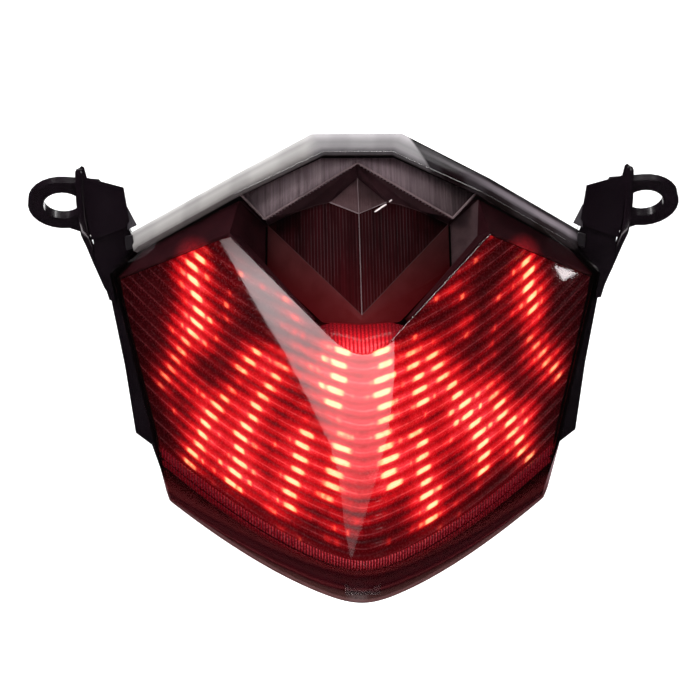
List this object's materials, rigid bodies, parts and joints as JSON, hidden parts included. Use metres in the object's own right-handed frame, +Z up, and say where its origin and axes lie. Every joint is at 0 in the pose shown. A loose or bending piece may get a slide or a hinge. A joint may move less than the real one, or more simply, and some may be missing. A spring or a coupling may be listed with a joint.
{
  "type": "motorcycle tail light",
  "caption": "Motorcycle tail light with a smoked faceted lens, a red fluted optic lit by LEDs, a dark centre chamber and a black housing with a looped mounting ear each side.",
  "frame": {"origin": "centre of the flat rear pad of the housing", "axes": "+Z up as mounted, lens faces -Y, +X to the right for somebody standing behind the motorcycle"},
  "size_m": [0.2004, 0.0954, 0.1389],
  "materials": {
    "black_plastic": "moulded black plastic, semi-gloss",
    "smoked_lens": "smoked clear polycarbonate, polished",
    "red_lens": "red fluted acrylic",
    "smoked_optic": "smoked fluted acrylic",
    "silver_trim": "grey fluted plastic",
    "bezel_black": "dark moulded plastic",
    "rubber_black": "matt rubber",
    "circuit_board": "solder-masked glass-fibre board",
    "grey_plastic": "moulded grey plastic",
    "led_red": "red LED epoxy",
    "clear": "clear",
    "zinc_steel": "zinc-plated steel",
    "brass_contact": "brass strip",
    "wire_black": "PVC insulation",
    "wire_red": "PVC insulation",
    "wire_yellow": "PVC insulation",
    "connector_black": "moulded nylon"
  },
  "bodies": {
    "lamp_body": {"board_screw_left_1": "zinc_steel", "board_screw_left_2": "zinc_steel", "board_screw_right_1": "zinc_steel", "board_screw_right_2": "zinc_steel", "breather_cap": "rubber_black", "carrier_screw_1": "zinc_steel", "carrier_screw_2": "zinc_steel", "carrier_screw_3": "zinc_steel", "carrier_screw_4": "zinc_steel", "centre_lens": "smoked_optic", "connector_body": "connector_black", "driver_module": "connector_black", "housing": "black_plastic", "inner_bezel": "bezel_black", "led_board_left": "circuit_board", "led_board_right": "circuit_board", "led_carrier": "grey_plastic", "led_left_1": "led_red", "led_left_2": "led_red", "led_left_3": "led_red", "led_left_4": "led_red", "led_left_5": "led_red", "led_left_6": "led_red", "led_left_7": "led_red", "led_left_8": "led_red", "led_left_9": "led_red", "led_right_1": "led_red", "led_right_2": "led_red", "led_right_3": "led_red", "led_right_4": "led_red", "led_right_5": "led_red", "led_right_6": "led_red", "led_right_7": "led_red", "led_right_8": "led_red", "led_right_9": "led_red", "lens_gasket": "rubber_black", "outer_lens": "smoked_lens", "plate_led": "clear", "plate_led_board": "circuit_board", "plate_window": "clear", "red_optic_lens": "red_lens", "roof_trim": "silver_trim", "terminal_1": "brass_contact", "terminal_2": "brass_contact", "terminal_3": "brass_contact", "wire_grommet": "rubber_black", "wire_ground": "wire_black", "wire_stop": "wire_yellow", "wire_tail": "wire_red"},
    "bulb_holder_body": {"bulb_holder": "grey_plastic", "holder_seal": "rubber_black", "holder_contact_1": "brass_contact", "holder_contact_2": "brass_contact", "bulb": "clear"},
    "latch_body": {"connector_latch": "connector_black"}
  },
  "joints": [
    {"name": "bulb_holder_turn", "type": "hinge", "parent": "lamp_body", "child": "bulb_holder_body", "pos_m": [0, -0.003, 0.03], "axis": [0, 1, 0], "range_deg": [0, 45]},
    {"name": "connector_latch_press", "type": "hinge", "parent": "lamp_body", "child": "latch_body", "pos_m": [0, 0.0201, -0.06], "axis": [1, 0, 0], "range_deg": [0, 8]}
  ]
}
